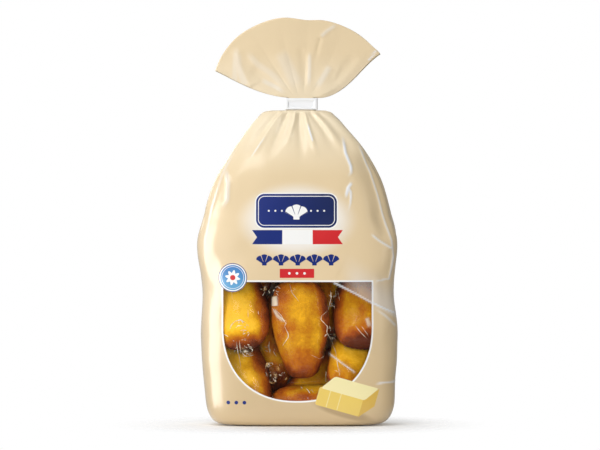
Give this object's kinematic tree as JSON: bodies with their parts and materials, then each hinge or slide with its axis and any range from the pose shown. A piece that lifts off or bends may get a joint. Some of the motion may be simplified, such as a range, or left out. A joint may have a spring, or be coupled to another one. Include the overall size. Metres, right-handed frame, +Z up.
{
  "type": "bag of madeleine cakes",
  "caption": "Printed film bag of wrapped madeleine cakes, standing upright, gathered and clipped at the neck under a fanned top, with a clear front window.",
  "frame": {"origin": "middle of the box that holds the part, on the surface that the base stands on", "axes": "+Z up towards the fanned top, -Y the printed front with the window, +X to the right seen from the front"},
  "size_m": [0.1606, 0.0823, 0.3254],
  "materials": {
    "printed_film": "cream printed plastic film, satin gloss, with pleats at the gathered neck",
    "clear_film": "clear thin plastic film, glossy, slightly crinkled",
    "clip": "white moulded plastic",
    "sponge": "baked sponge, golden on the hump, browned at the rim and the ribs"
  },
  "bodies": {
    "root": {"bag": "printed_film", "window_film": "clear_film", "clip": "clip", "madeleine_centre": "sponge", "madeleine_upper_left": "sponge", "madeleine_upper_right": "sponge", "madeleine_lower_left": "sponge", "madeleine_lower_right": "sponge", "madeleine_bottom": "sponge", "madeleine_behind": "sponge"}
  },
  "joints": []
}
